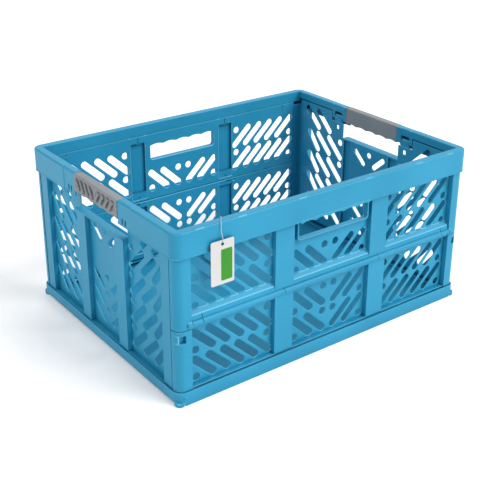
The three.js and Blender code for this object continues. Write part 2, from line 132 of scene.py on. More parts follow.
# End flaps.
FLAP_HALF = flap_high[1]
FLAP_BOTTOM = flap_low[2]
FLAP_TOP = flap_high[2]
FLAP_DEPTH = 10 * MM
FLAP_RIB = (42 * MM, 66 * MM)
FLAP_EDGE = 160 * MM
FLAP_AXIS = 230 * MM
FLAP_AXIS_W = 4 * MM
FLAP_ROWS = (47 * MM, 88 * MM, 129 * MM, 170 * MM)
FLAP_SLOTS = ((87 * MM, SLOT_RUN), (116 * MM, SLOT_RUN), (142 * MM, 11 * MM))
EAR_START = 97 * MM
EAR_ROW = 211 * MM
EAR_SLOTS = (116 * MM, 145 * MM)
MIDDLE_ROWS = (43 * MM, 70 * MM, 97 * MM, 172 * MM)
LEDGE = 195 * MM
LUG = (71.5 * MM, 88.5 * MM)

# Rim, with the bar and the grip in the middle of each end.
SIDE_RIM_INNER = 232 * MM
END_RIM_INNER = 238 * MM
BEAD = 0.7 * MM
HANDLE_HALF = 66 * MM
HANDLE_ZONE = 94 * MM
HANDLE_SET_BACK = 0.8 * MM
WINDOW_PLACES = tuple(y * MM for y in (-79.9, -72.1, 72.1, 79.9))
WINDOW_HALF = 1.6 * MM
WINDOW_PAD = (69.5 * MM, 82.5 * MM)
GRIP_STATIONS = 60
GRIP_SCALLOP = 2.0 * MM

# Hang tag.
TAG_X = (tag_low[0] + tag_high[0]) / 2
TAG_MIDDLE = (tag_low[2] + tag_high[2]) / 2
EYELET_Z = tag_high[2] - 5.5 * MM

# Directions that a sheet's own x, y and z are laid along.
UPRIGHT = ((1, 0, 0), (0, 1, 0), (0, 0, 1))
FACING_FRONT = ((1, 0, 0), (0, 0, 1), (0, -1, 0))
FACING_LEFT = ((0, -1, 0), (0, 0, 1), (-1, 0, 0))
FACING_BACK = ((-1, 0, 0), (0, 0, 1), (0, 1, 0))
QUARTER = math.pi / 2
BOTH = (-1, 1)
FOUR_CORNERS = tuple((sx, sy) for sx in BOTH for sy in BOTH)

# Plastic: how its cloudy colour, its gloss and its grain vary.
CLOUD_SCALE = 9.0
SPECK_SCALE = 260.0
SPECK_SHARE = 0.25
CLOUD_RANGE = (0.45, 0.85)
GLOSS_RANGE = (-0.06, 0.08)
GRAIN_STRENGTH = 0.35

# Plastic: where a surface counts as a corner, which gets painted shade, and as a thin edge and as slanted,
# which get a painted highlight.
CORNER_REACH = 30 * MM
THIN_REACH = 1.6 * MM
SHADING_SAMPLES = 8
CORNER_RANGE = (0.85, 0.3)
THIN_RANGE = (0.95, 0.5)
SLANT_RANGE = (0.97, 0.82)


# ---- Materials ----
def node(tree, kind, **values):
    """A new node, with each value given to its input of that name or else to the node itself."""
    made = tree.nodes.new(kind)
    for key, value in values.items():
        if key in made.inputs:
            made.inputs[key].default_value = value
        else:
            setattr(made, key, value)
    return made


def ramp(tree, stops):
    """A colour ramp between two stops, each a place and a colour."""
    made = tree.nodes.new("ShaderNodeValToRGB")
    for point, (place, colour) in zip(made.color_ramp.elements, stops):
        point.position = place
        point.color = (*colour, 1)
    return made


def moulded(name, dark, light, roughness, grain_scale, grain_depth,
            coat=0.0, subsurface=0.0, gloss_level=0.3):
    """Moulded plastic or rubber: cloudy colour, uneven gloss and a fine spark-eroded grain."""
    material = bpy.data.materials.new(name)
    material.use_nodes = True
    tree = material.node_tree
    shader = tree.nodes["Principled BSDF"]
    shader.inputs["Specular IOR Level"].default_value = gloss_level
    shader.inputs["Coat Weight"].default_value = coat
    shader.inputs["Coat Roughness"].default_value = 0.25
    shader.inputs["Subsurface Weight"].default_value = subsurface
    shader.inputs["Subsurface Scale"].default_value = 2 * MM
    place = node(tree, "ShaderNodeTexCoord")
    cloud = node(tree, "ShaderNodeTexNoise", Scale=CLOUD_SCALE, Detail=3.0, Roughness=0.5)
    speck = node(tree, "ShaderNodeTexNoise", Scale=SPECK_SCALE, Detail=2.0)
    mix = node(tree, "ShaderNodeMath", operation="MULTIPLY_ADD")
    mix.inputs[1].default_value = SPECK_SHARE
    tree.links.new(place.outputs["Object"], cloud.inputs["Vector"])
    tree.links.new(place.outputs["Object"], speck.inputs["Vector"])
    tree.links.new(speck.outputs["Fac"], mix.inputs[0])
    tree.links.new(cloud.outputs["Fac"], mix.inputs[2])
    colour = ramp(tree, zip(CLOUD_RANGE, (dark, light)))
    tree.links.new(mix.outputs[0], colour.inputs["Fac"])
    tree.links.new(colour.outputs["Color"], shader.inputs["Base Color"])
    gloss = node(tree, "ShaderNodeMapRange")
    gloss.inputs["To Min"].default_value = roughness + GLOSS_RANGE[0]
    gloss.inputs["To Max"].default_value = roughness + GLOSS_RANGE[1]
    tree.links.new(mix.outputs[0], gloss.inputs["Value"])
    tree.links.new(gloss.outputs["Result"], shader.inputs["Roughness"])
    grain = node(tree, "ShaderNodeTexNoise", Scale=grain_scale, Detail=4.0, Roughness=0.6)
    tree.links.new(place.outputs["Object"], grain.inputs["Vector"])
    bump = node(tree, "ShaderNodeBump", Strength=GRAIN_STRENGTH, Distance=grain_depth)
    tree.links.new(grain.outputs["Fac"], bump.inputs["Height"])
    tree.links.new(bump.outputs["Normal"], shader.inputs["Normal"])
    return material


def span(tree, source, start, end):
    """A value that runs from 0 to 1 while the source goes from start to end."""
    made = node(tree, "ShaderNodeMapRange")
    made.inputs["From Min"].default_value = start
    made.inputs["From Max"].default_value = end
    tree.links.new(source, made.inputs["Value"])
    return made.outputs["Result"]


def math_of(tree, operation, a, b):
    made = node(tree, "ShaderNodeMath", operation=operation)
    tree.links.new(a, made.inputs[0])
    tree.links.new(b, made.inputs[1])
    return made.outputs[0]


def slanted(tree):
    """1 on faces that run askew to the object's axes, 0 on those square to one; it masks the painted
    highlight.
    """
    place = node(tree, "ShaderNodeTexCoord")
    size = node(tree, "ShaderNodeVectorMath", operation="ABSOLUTE")
    axes = node(tree, "ShaderNodeSeparateXYZ")
    tree.links.new(place.outputs["Normal"], size.inputs[0])
    tree.links.new(size.outputs["Vector"], axes.inputs[0])
    wider = math_of(tree, "MAXIMUM", axes.outputs[0], axes.outputs[1])
    widest = math_of(tree, "MAXIMUM", wider, axes.outputs[2])
    return span(tree, widest, *SLANT_RANGE)


def paint_shade_and_highlights(material, shade, highlight_colour):
    """Paints shade into the colour in corners and between ribs, and paints a highlight onto thin rounded
    edges and slot walls.
    """
    tree = material.node_tree
    shader = tree.nodes["Principled BSDF"]
    plain = shader.inputs["Base Color"].links[0].from_socket
    # Painted shade: the colour is multiplied toward the shade colour where ambient occlusion finds surfaces
    # nearby.
    corners = node(tree, "ShaderNodeAmbientOcclusion", Distance=CORNER_REACH, samples=SHADING_SAMPLES)
    thin = node(tree, "ShaderNodeAmbientOcclusion", Distance=THIN_REACH, samples=SHADING_SAMPLES, inside=True)
    darker = node(tree, "ShaderNodeMix", data_type="RGBA", blend_type="MULTIPLY")
    darker.inputs[7].default_value = (*shade, 1)
    tree.links.new(span(tree, corners.outputs["AO"], *CORNER_RANGE), darker.inputs["Factor"])
    tree.links.new(plain, darker.inputs[6])
    # Painted highlight: a pale colour is added on thin rounded edges and slanted slot walls, standing in for
    # light caught there.
    highlighted = node(tree, "ShaderNodeMix", data_type="RGBA", blend_type="ADD")
    highlighted.inputs[7].default_value = (*highlight_colour, 1)
    edges = math_of(tree, "MULTIPLY", span(tree, thin.outputs["AO"], *THIN_RANGE), slanted(tree))
    tree.links.new(edges, highlighted.inputs["Factor"])
    tree.links.new(darker.outputs[2], highlighted.inputs[6])
    tree.links.new(highlighted.outputs[2], shader.inputs["Base Color"])
    return material


def blue_plastic():
    plain = moulded("blue_polypropylene", (0.018, 0.265, 0.44), (0.026, 0.3, 0.495), 0.36, 1500.0,
                    0.05 * MM, subsurface=0.05, gloss_level=0.22)
    # The first colour is the painted shade for corners, the second the painted highlight for thin edges and
    # slot walls.
    return paint_shade_and_highlights(plain, (0.62, 0.7, 0.76), (0.12, 0.24, 0.24))


def wire_steel():
    material = moulded("drawn_steel", (0.22, 0.24, 0.26), (0.32, 0.34, 0.36), 0.4, 900.0, 0.02 * MM)
    material.node_tree.nodes["Principled BSDF"].inputs["Metallic"].default_value = 1.0
    return material


BLUE = blue_plastic()
GREY = moulded("grey_soft_grip", (0.23, 0.245, 0.26), (0.29, 0.305, 0.32), 0.75, 1900.0, 0.12 * MM)
STEEL = wire_steel()
COATED_WIRE = moulded("blue_coated_wire", (0.018, 0.2, 0.34), (0.026, 0.23, 0.38), 0.35, 900.0, 0.02 * MM)
EYELET = moulded("blue_grey_eyelet", (0.06, 0.11, 0.16), (0.09, 0.15, 0.21), 0.3, 900.0, 0.02 * MM,
                 coat=0.3)
CARD = moulded("white_card", (0.55, 0.55, 0.54), (0.6, 0.6, 0.59), 0.5, 2600.0, 0.01 * MM)
GREEN = moulded("green_print", (0.03, 0.235, 0.012), (0.036, 0.26, 0.016), 0.45, 2600.0, 0.01 * MM)
THREAD = moulded("pale_thread", (0.5, 0.5, 0.5), (0.66, 0.66, 0.66), 0.8, 3000.0, 0.05 * MM)


# ---- Outlines ----
def between(side, a, b):
    """Two distances taken to one side of the middle, the lower first."""
    return sorted((side * a, side * b))


def in_mm(points):
    return [(a * MM, b * MM) for a, b in points]


def arc(centre, radius, start, end, steps):
    angles = [start + (end - start) * i / steps for i in range(steps + 1)]
    return [(centre[0] + radius * math.cos(a), centre[1] + radius * math.sin(a)) for a in angles]


def rounded(a0, a1, b0, b1, radius, steps=5):
    """A rectangle with rounded corners."""
    corners = [((a1 - radius, b0 + radius), 3), ((a1 - radius, b1 - radius), 0),
               ((a0 + radius, b1 - radius), 1), ((a0 + radius, b0 + radius), 2)]
    points = []
    for centre, turn in corners:
        points += arc(centre, radius, turn * QUARTER, (turn + 1) * QUARTER, steps)
    return points


def circle(centre, radius, steps=20):
    return arc(centre, radius, 0, 2 * math.pi * (1 - 1 / steps), steps - 1)


def slot(centre, half_run, half_rise, radius=SLOT_RADIUS, steps=8):
    """A slanting hole with round ends, by its middle and half the way between its ends' centres."""
    turn = math.atan2(half_rise, half_run)
    far = (centre[0] + half_run, centre[1] + half_rise)
    near = (centre[0] - half_run, centre[1] - half_rise)
    return (arc(far, radius, turn - QUARTER, turn + QUARTER, steps)
            + arc(near, radius, turn + QUARTER, turn + 3 * QUARTER, steps))


def scallops(start, width, high, depth):
    """Points along an edge with a hollow for each finger. A negative width runs the other way."""
    points = []
    for finger in range(FINGERS):
        for step in range(SCALLOP_STEPS):
            share = step / SCALLOP_STEPS
            ridge = 1 - math.sin(math.pi * share)
            points.append((start + (finger + share) * width, high - depth * ridge))
    return points


def direction(loop):
    """Twice the signed area: positive when the loop runs anticlockwise."""
    return sum(a[0] * b[1] - b[0] * a[1] for a, b in zip(loop, loop[1:] + loop[:1]))


# ---- Meshes ----
def sheet(outline, holes, thickness, edge=EDGE, rounds=1):
    """A flat piece with rounded edges, from its outline and its holes. Its thickness runs from 0 upward."""
    curve = bpy.data.curves.new("outline", "CURVE")
    curve.dimensions = "2D"
    curve.fill_mode = "BOTH"
    curve.extrude = thickness / 2 - edge
    curve.bevel_depth = edge
    curve.bevel_resolution = rounds
    curve.offset = -edge
    for index, loop in enumerate([outline, *holes]):
        outer = index == 0
        if (direction(loop) > 0) != outer:
            loop = loop[::-1]
        spline = curve.splines.new("POLY")
        spline.points.add(len(loop) - 1)
        for point, (a, b) in zip(spline.points, loop):
            point.co = (a, b, 0, 1)
        spline.use_cyclic_u = True
    shape = bpy.data.objects.new("outline", curve)
    bpy.context.scene.collection.objects.link(shape)
    seen = shape.evaluated_get(bpy.context.evaluated_depsgraph_get())
    mesh = bpy.data.meshes.new_from_object(seen)
    bpy.data.objects.remove(shape)
    bpy.data.curves.remove(curve)
    mesh.transform(Matrix.Translation((0, 0, thickness / 2)))
    return mesh


def placed(mesh, axes, origin=(0, 0, 0)):
    """Turns a mesh so that its own x, y and z run along the three given directions."""
    turn = Matrix(axes).transposed().to_4x4()
    mesh.transform(Matrix.Translation(origin) @ turn)
    return mesh


def side_y(w):
    return -(SIDE_PLANE + w)


def end_x(w):
    return -(END_PLANE + w)


def side_sheet(outline, holes, w0, w1, edge=EDGE):
    """A sheet standing in the front side: outline in (x, z), thickness outward."""
    return placed(sheet(outline, holes, w1 - w0, edge), FACING_FRONT, (0, side_y(w0), 0))


def side_rail(profile, x0, x1, edge=EDGE):
    """A profile in (w, z) drawn out along X."""
    return placed(sheet(profile, [], x1 - x0, edge), FACING_LEFT, (x1, side_y(0), 0))


def end_sheet(outline, holes, w0, w1, edge=EDGE):
    """A sheet standing in the left end: outline in (-y, z), thickness outward."""
    return placed(sheet(outline, holes, w1 - w0, edge), FACING_LEFT, (end_x(w0), 0, 0))


def end_rail(profile, y0, y1, edge=EDGE):
    """A profile in (w, z) drawn out along Y."""
    return placed(sheet(profile, [], y1 - y0, edge), FACING_BACK, (end_x(0), y0, 0))


def column(profile, z0, z1, edge=EDGE):
    """A profile in (x, y) drawn up from z0 to z1."""
    return placed(sheet(profile, [], z1 - z0, edge), UPRIGHT, (0, 0, z0))


def block(x0, x1, y0, y1, z0, z1, radius=1.2 * MM, edge=EDGE):
    return column(rounded(x0, x1, y0, y1, radius, 3), z0, z1, edge)


def rod_x(x0, x1, y, z, radius, edge=EDGE, steps=24):
    return placed(sheet(circle((0, 0), radius, steps), [], x1 - x0, edge), FACING_LEFT, (x1, y, z))


def rod_y(y0, y1, x, z, radius, edge=EDGE, steps=24):
    return placed(sheet(circle((0, 0), radius, steps), [], y1 - y0, edge), FACING_BACK, (x, y0, z))


def turned_meshes(meshes):
    """The meshes, turned half round the crate's upright axis."""
    for mesh in meshes:
        mesh.transform(Matrix.Rotation(math.pi, 4, "Z"))
    return meshes


def with_turned(meshes):
    """The meshes, and a copy of each at the opposite side of the crate."""
    return meshes + turned_meshes([mesh.copy() for mesh in meshes])


def lofted(name, rings):
    """A closed mesh through rings of points, each ring with the same number of points."""
    mesh = bmesh.new()
    rows = [[mesh.verts.new(point) for point in ring] for ring in rings]
    for first, second in zip(rows, rows[1:]):
        for i, corner in enumerate(first):
            j = (i + 1) % len(first)
            mesh.faces.new((corner, first[j], second[j], second[i]))
    mesh.faces.new(rows[0][::-1])
    mesh.faces.new(rows[-1])
    bmesh.ops.recalc_face_normals(mesh, faces=mesh.faces)
    made = bpy.data.meshes.new(name)
    mesh.to_mesh(made)
    mesh.free()
    return made


def joined(meshes):
    """One mesh of several."""
    whole = bmesh.new()
    for mesh in meshes:
        whole.from_mesh(mesh)
        bpy.data.meshes.remove(mesh)
    made = bpy.data.meshes.new("joined")
    bmesh.ops.recalc_face_normals(whole, faces=whole.faces)
    whole.to_mesh(made)
    whole.free()
    return made


def piece(name, mesh, material, body, replaced=(), turned=False):
    """An object for one piece, smooth on its rounded edges and sharp elsewhere."""
    if turned:
        mesh = turned_meshes([mesh.copy()])[0]
    mesh.name = name
    mesh.materials.clear()
    mesh.materials.append(material)
    mesh.shade_smooth()
    mesh.set_sharp_from_angle(angle=math.radians(50))
    made = bpy.data.objects.new(name, mesh)
    bpy.context.scene.collection.objects.link(made)
    soften = made.modifiers.new("flat_faces", "WEIGHTED_NORMAL")
    soften.keep_sharp = True
    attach(made, body)
    if replaced:
        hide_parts(*replaced)
    return made


def cut_away(mesh, cutters):
    """The mesh with the cutter meshes taken out of it."""
    target = bpy.data.objects.new("target", mesh)
    tool = bpy.data.objects.new("tool", joined(cutters))
    for thing in (target, tool):
        bpy.context.scene.collection.objects.link(thing)
    cut = target.modifiers.new("cut", "BOOLEAN")
    cut.operation = "DIFFERENCE"
    cut.solver = "EXACT"
    cut.object = tool
    seen = target.evaluated_get(bpy.context.evaluated_depsgraph_get())
    made = bpy.data.meshes.new_from_object(seen)
    for thing in (target, tool):
        bpy.data.objects.remove(thing)
    return made


# ---- Camera and light ----
def make_camera():
    """The view from the front left, a little above the rim."""
    azimuth = math.radians(-37.04)
    elevation = math.radians(22.95)
    roll = math.radians(0.32)
    distance = 1.479
    target = Vector((0.0066, 0.0075, 0.1589))
    back = Vector((math.sin(azimuth) * math.cos(elevation),
                   -math.cos(azimuth) * math.cos(elevation), math.sin(elevation)))
    data = bpy.data.cameras.new("camera")
    data.sensor_width = 36
    data.lens = 68.3
    data.shift_y = -0.1
    camera = bpy.data.objects.new("camera", data)
    bpy.context.scene.collection.objects.link(camera)
    turn = (-back).to_track_quat("-Z", "Y").to_matrix().to_4x4()
    place = Matrix.Translation(target + back * distance)
    camera.matrix_world = place @ turn @ Matrix.Rotation(roll, 4, "Z")
    bpy.context.scene.camera = camera


def soft_sun(name, source, strength, spread):
    """A wide soft light that comes from the given direction."""
    data = bpy.data.lights.new(name, "SUN")
    data.energy = strength
    data.angle = math.radians(spread)
    light = bpy.data.objects.new(name, data)
    light.rotation_euler = Vector(source).to_track_quat("Z", "Y").to_euler()
    bpy.context.scene.collection.objects.link(light)


def make_floor():
    """A pale floor just under the crate, wide enough to fill the view."""
    half = 30
    corners = [(-half, -half, 0), (half, -half, 0), (half, half, 0), (-half, half, 0)]
    floor_mesh = bpy.data.meshes.new("floor")
    floor_mesh.from_pydata(corners, [], [(0, 1, 2, 3)])
    floor = bpy.data.objects.new("floor", floor_mesh)
    floor.location.z = -0.2 * MM
    paper = moulded("pale_floor", (0.86, 0.86, 0.86), (0.9, 0.9, 0.9), 0.9, 40.0, 0.1 * MM)
    paper_shader = paper.node_tree.nodes["Principled BSDF"]
    paper_shader.inputs["Emission Color"].default_value = (1, 1, 1, 1)
    paper_shader.inputs["Emission Strength"].default_value = 0.2
    floor_mesh.materials.append(paper)
    bpy.context.scene.collection.objects.link(floor)


def make_studio():
    bpy.context.scene.view_settings.view_transform = "Standard"
    world = bpy.data.worlds.new("studio")
    world.use_nodes = True
    sky = world.node_tree.nodes["Background"]
    sky.inputs["Color"].default_value = (1, 1, 1, 1)
    sky.inputs["Strength"].default_value = 0.56
    bpy.context.scene.world = world
    soft_sun("key", (0.6, -0.8, 0.95), 2.4, 40)
    soft_sun("fill", (-0.75, 0.1, 0.9), 0.6, 60)
    soft_sun("back", (0.55, 0.75, 0.5), 0.25, 40)
    make_floor()


# ---- Long sides ----
def bay(row, side, slots, holes):
    """A row of slots in one bay, with a round hole above its first slot and one below its last."""
    first, last = holes
    return [*(slot((side * x, row), side * SLOT_RUN, SLOT_RISE) for x in slots),
            circle((side * first, row + HOLE_RISE), HOLE_RADIUS),
            circle((side * last, row - HOLE_RISE), HOLE_RADIUS)]


def side_holes(rows, middle_rows):
    holes = []
    for side in BOTH:
        for row in rows:
            holes += bay(row, side, OUTER_SLOTS, OUTER_HOLES)
        for row in middle_rows:
            holes += bay(row, side, MIDDLE_SLOTS, MIDDLE_HOLES)
    return holes


def scalloped_hand_hole():
    """An opening whose top edge has a groove for each finger."""
    low, high = HAND_HOLE
    left, right, radius = -HAND_HOLE_HALF, HAND_HOLE_HALF, HAND_HOLE_RADIUS
    loop = arc((left + radius, low + radius), radius, 2 * QUARTER, 3 * QUARTER, 5)
    loop += arc((right - radius, low + radius), radius, 3 * QUARTER, 4 * QUARTER, 5)
    loop += scallops(right, -(right - left) / FINGERS, high, HAND_HOLE_SCALLOP)
    loop.append((left, high - HAND_HOLE_SCALLOP))
    return loop


def post_profile(side, pocket=False):
    """A corner post's section, with or without the pocket in its outer face."""
    inner = side * POST_INNER
    outer = side * POST_OUTER
    leg = outer - side * POST_LEG
    face = side_y(PANEL_DEPTH)
    centre = (side * (POST_OUTER - POST_RADIUS), side_y(PANEL_DEPTH - POST_RADIUS))
    end = 0 if side > 0 else -math.pi
    bend = arc(centre, POST_RADIUS, -QUARTER, end, 12)
    points = [(inner, side_y(0)), (inner, face)]
    if pocket:
        near, far = side * POCKET[0], side * POCKET[1]
        floor = face + POCKET_DEPTH
        rise = math.sqrt(POST_RADIUS ** 2 - (far - centre[0]) ** 2)
        points += [(near, face), (near, floor), (far, floor), (far, centre[1] - rise)]
        bend = [corner for corner in bend if abs(corner[0]) > POCKET[1]]
    return [*points, *bend, (outer, side_y(POST_INNER_W)), (leg, side_y(POST_INNER_W)), (leg, side_y(0))]


def rib_profile(side):
    """An upright rib's section, with a shallow recess toward the crate."""
    a, b = between(side, *SIDE_RIB)
    face = side_y(SIDE_RIB_DEPTH)
    return [(a, side_y(INSET)), (a, face), (b, face), (b, side_y(INSET)), (b - SKIN, side_y(INSET)),
            (b - SKIN, side_y(RECESS)), (a + SKIN, side_y(RECESS)), (a + SKIN, side_y(INSET))]


def side_plate_outline(z0, z1):
    """The panel's outline, from post to post."""
    return [(-POST_INNER, z0), (POST_INNER, z0), (POST_INNER, z1), (-POST_INNER, z1)]


def rib_slots(z0, z1):
    """The panel is open behind each rib."""
    near, far = SIDE_RIB[0] + RIB_WALL, SIDE_RIB[1] - RIB_WALL
    return [rounded(*between(side, near, far), z0, z1, 1.5 * MM, 3) for side in BOTH]


def hinge_notches(z):
    """Small notches beside the hinge seam, where the halves' stops meet."""
    return [rounded(*between(side, x, x + 5 * MM), z, z + 2.2 * MM, 0.6 * MM, 2)
            for side in BOTH for x in (101.5 * MM, 232 * MM)]


def rim_hooks(top):
    """Narrow slits at the top of the panel, beside the clips that hold it in the rim."""
    slits = []
    low, high = top - 12 * MM, top - 3 * MM
    for side in BOTH:
        for x in (86 * MM, 214 * MM):
            left, right = side * x - 0.7 * MM, side * x + 0.7 * MM
            slits.append([(left, low), (right, low), (right, high), (left, high)])
    return slits


def barrels(segments):
    """The thick rods of the mid hinge, which alternate between the two halves."""
    return [rod_x(a + BARREL_GAP, b - BARREL_GAP, side_y(MID_W), MID_AXIS, BARREL_RADIUS)
            for a, b in segments]


def knuckles(axis):
    """The small rods that hang a side in the tray or in the rim."""
    return [rod_x(x - KNUCKLE_HALF, x + KNUCKLE_HALF, side_y(HINGE_W), axis, KNUCKLE_RADIUS)
            for x in KNUCKLE_PLACES]


def split_rails(profile, segments, gap=RAIL_GAP):
    """A rail in lengths, with a gap wherever the hinge barrel changes hands."""
    return [side_rail(profile, a + gap, b - gap) for a, b in segments]


def lower_side():
    bottom = BASE_TOP + 0.6 * MM
    top = MID_AXIS - SEAM
    holes = [*side_holes(SIDE_ROWS["lower"], SIDE_ROWS["lower"]), *rib_slots(bottom + 3 * MM, top - 3 * MM),
             *hinge_notches(top - 5 * MM)]
    parts = [side_sheet(side_plate_outline(14 * MM, top), holes, 0, SKIN, SLOT_EDGE)]
    low, high = POCKET_SPAN
    for side in BOTH:
        parts.append(column(rib_profile(side), bottom, top - 1 * MM, RIB_EDGE))
        parts.append(column(post_profile(side), bottom, low, RAIL_EDGE))
        parts.append(column(post_profile(side, pocket=True), low, high, 0.1 * MM))
        parts.append(column(post_profile(side), high, POST_SPLIT - 0.6 * MM, RAIL_EDGE))
    lip = in_mm([(0.5, 107), (3, 107.5), (6.5, 109), (9.6, 110.5), (9.6, 112.3), (0.5, 112.3)])
    parts.append(side_rail(lip, -POST_INNER + 1 * MM, POST_INNER - 1 * MM))
    collar = [(INSET, 112 * MM), (9.5 * MM, 112 * MM), (9.5 * MM, top), (INSET, top)]
    parts += split_rails(collar, LOWER_SEGMENTS)
    foot = rounded(INSET, SIDE_RIB_DEPTH, bottom, bottom + 2 * MM, 0.8 * MM, 3)
    parts.append(side_rail(foot, -POST_INNER, POST_INNER, RAIL_EDGE))
    return joined([*parts, *barrels(LOWER_SEGMENTS), *knuckles(BASE_AXIS)])


def hinge_boss(side):
    """The round end of the mid hinge, in the face of a corner post."""
    length = 7 * MM
    boss = rod_x(0, length, side_y(MID_W - 0.3 * MM), MID_AXIS + 0.2 * MM, 5.2 * MM, 1.6 * MM)
    boss.transform(Matrix.Translation((side * 242 * MM - length / 2, 0, 0)))
    return boss


def upper_side():
    bottom = MID_AXIS + SEAM
    top = SIDE_RIM_INNER - SEAM
    holes = [*side_holes(SIDE_ROWS["upper"], SIDE_ROWS["upper"][:1]), scalloped_hand_hole(),
             *rib_slots(122 * MM, 219 * MM), *rim_hooks(top)]
    parts = [side_sheet(side_plate_outline(bottom, top), holes, 0, SKIN, SLOT_EDGE)]
    for side in BOTH:
        parts.append(column(rib_profile(side), MID_AXIS + 5 * MM, top, RIB_EDGE))
        parts.append(column(post_profile(side), POST_SPLIT, FRAME_AXIS + 2 * MM, 1.2 * MM))
        parts.append(hinge_boss(side))
    shoulder = in_mm([(0.5, 127.5), (8.2, 127.5), (7.4, 129), (5, 131.5), (3, 134), (0.5, 134.5)])
    parts.append(side_rail(shoulder, -POST_INNER + 1 * MM, POST_INNER - 1 * MM, FINE_EDGE))
    slope = in_mm([(0.5, 121.6), (9.3, 121.6), (9.2, 124.5), (8.2, 127.7), (0.5, 127.7)])
    parts += split_rails(slope, ALL_SEGMENTS, BARREL_GAP)
    collar = [(INSET, bottom), (9.5 * MM, bottom), (9.5 * MM, 122 * MM), (INSET, 122 * MM)]
    parts += split_rails(collar, UPPER_SEGMENTS)
    low, high = HAND_HOLE
    ring = rounded(-HAND_HOLE_HALF - SKIN, HAND_HOLE_HALF + SKIN, low - SKIN, high + SKIN, 5 * MM)
    parts.append(side_sheet(ring, [scalloped_hand_hole()], SKIN / 2, PANEL_DEPTH - 1.2 * MM, RIB_EDGE))
    return joined([*parts, *barrels(UPPER_SEGMENTS), *knuckles(FRAME_AXIS)])


def make_long_sides():
    halves = (("lower", lower_side()), ("upper", upper_side()))
    for name, turned in (("front", False), ("back", True)):
        for half, mesh in halves:
            piece(f"{half}_half_{name}", mesh, BLUE, f"{half}_{name}",
                  [f"{half}_side_{name}"], turned)


# ---- End flaps ----
def flap_outline():
    lug_top = FLAP_AXIS - 10 * MM
    right = [(FLAP_HALF, FLAP_BOTTOM), (FLAP_HALF, FLAP_TOP), (EAR_START, FLAP_TOP), (EAR_START, lug_top),
             (HANDLE_HALF, lug_top), (HANDLE_HALF, LEDGE)]
    return right + [(-a, b) for a, b in reversed(right)]


def flap_holes():
    """Slots of the outer bays, the ears and the middle bay, and the openings behind the ribs."""
    holes = []
    for side in BOTH:
        for row in FLAP_ROWS:
            holes += [slot((side * centre, row), side * run, SLOT_RISE) for centre, run in FLAP_SLOTS]
            holes.append(circle((side * 73 * MM, row + 13.5 * MM), HOLE_RADIUS))
        holes += [slot((side * centre, EAR_ROW), side * SLOT_RUN, SLOT_RISE) for centre in EAR_SLOTS]
        holes.append(rounded(*between(side, 77 * MM, 83 * MM), 207 * MM, 214 * MM, 0.8 * MM, 2))
        holes += [slot((side * 23 * MM, row), side * 10 * MM, 8.8 * MM, 4.4 * MM) for row in MIDDLE_ROWS]
        a, b = between(side, FLAP_RIB[0] + RIB_WALL, FLAP_RIB[1] - RIB_WALL)
        holes.append(rounded(a, b, FLAP_BOTTOM + 4 * MM, LEDGE - 4 * MM, 1.5 * MM, 3))
    holes += [circle((0, row + 9 * MM), 4.8 * MM) for row in MIDDLE_ROWS]
    return holes


def channel(a0, a1, z0, z1):
    """An upright rib in the left end, with a shallow recess toward the crate."""
    near, deep, face = end_x(INSET), end_x(RECESS), end_x(FLAP_DEPTH)
    profile = [(near, a0), (face, a0), (face, a1), (near, a1),
               (near, a1 - SKIN), (deep, a1 - SKIN), (deep, a0 + SKIN), (near, a0 + SKIN)]
    return column(profile, z0, z1, RIB_EDGE)


def end_flap():
    parts = [end_sheet(flap_outline(), flap_holes(), 0, SKIN, SLOT_EDGE)]
    rib_foot = FLAP_BOTTOM + 5 * MM
    for side in BOTH:
        parts.append(channel(*between(side, *FLAP_RIB), rib_foot, LEDGE - 1 * MM))
        parts.append(channel(*between(side, FLAP_EDGE, FLAP_HALF), rib_foot, FLAP_AXIS - 7 * MM))
        y0, y1 = between(side, *LUG)
        parts.append(rod_y(y0, y1, end_x(FLAP_AXIS_W), FLAP_AXIS, KNUCKLE_RADIUS))
        web = rounded(INSET, SKIN + 2 * MM, FLAP_AXIS - 14 * MM, FLAP_AXIS, 0.6 * MM, 2)
        parts.append(end_rail(web, y0, y1, RAIL_EDGE))
    ledge = rounded(INSET, FLAP_DEPTH + 3 * MM, LEDGE - SKIN, LEDGE, 1.1 * MM, 4)
    parts.append(end_rail(ledge, -HANDLE_HALF, HANDLE_HALF, 1.0 * MM))
    foot = rounded(INSET, FLAP_DEPTH, BASE_TOP - 2.2 * MM, BASE_TOP + 0.2 * MM, 1.0 * MM, 4)
    parts.append(end_rail(foot, -FLAP_HALF, FLAP_HALF, RIB_EDGE))
    return joined(parts)


def make_flaps():
    flap = end_flap()
    for name, turned in (("left", False), ("right", True)):
        piece(f"flap_{name}", flap, BLUE, f"flap_{name}", [f"end_flap_{name}"], turned)


# ---- Base tray ----
def tray_wall(half_x, half_y, radius, end_thickness, inner_radius, height, edge, rounds=1):
    """A closed wall, as thick as the skin along the sides and end_thickness thick at the ends."""
    inner_x, inner_y = half_x - end_thickness, half_y - SKIN
    outside = rounded(-half_x, half_x, -half_y, half_y, radius, 10)
    inside = rounded(-inner_x, inner_x, -inner_y, inner_y, inner_radius, 10)
    return sheet(outside, [inside], height, edge, rounds)


def corner_foot(half_x, half_y, sx, sy):
    x0, x1 = between(sx, half_x - 13 * MM, half_x)
    y0, y1 = between(sy, half_y - 15 * MM, half_y)
    return column(rounded(x0, x1, y0, y1, 6 * MM, 6), 0, 6 * MM, 0.5 * MM)


def corner_holes(half_x, half_y):
    """A small blind hole in the long walls beside each corner."""
    holes = []
    for sx, sy in FOUR_CORNERS:
        pin = sheet(circle((0, 0), 1.1 * MM, 12), [], 4 * MM, 0.1 * MM)
        holes.append(placed(pin, FACING_FRONT, (sx * (half_x - 9 * MM), sy * half_y + 2 * MM, 11 * MM)))
    return holes


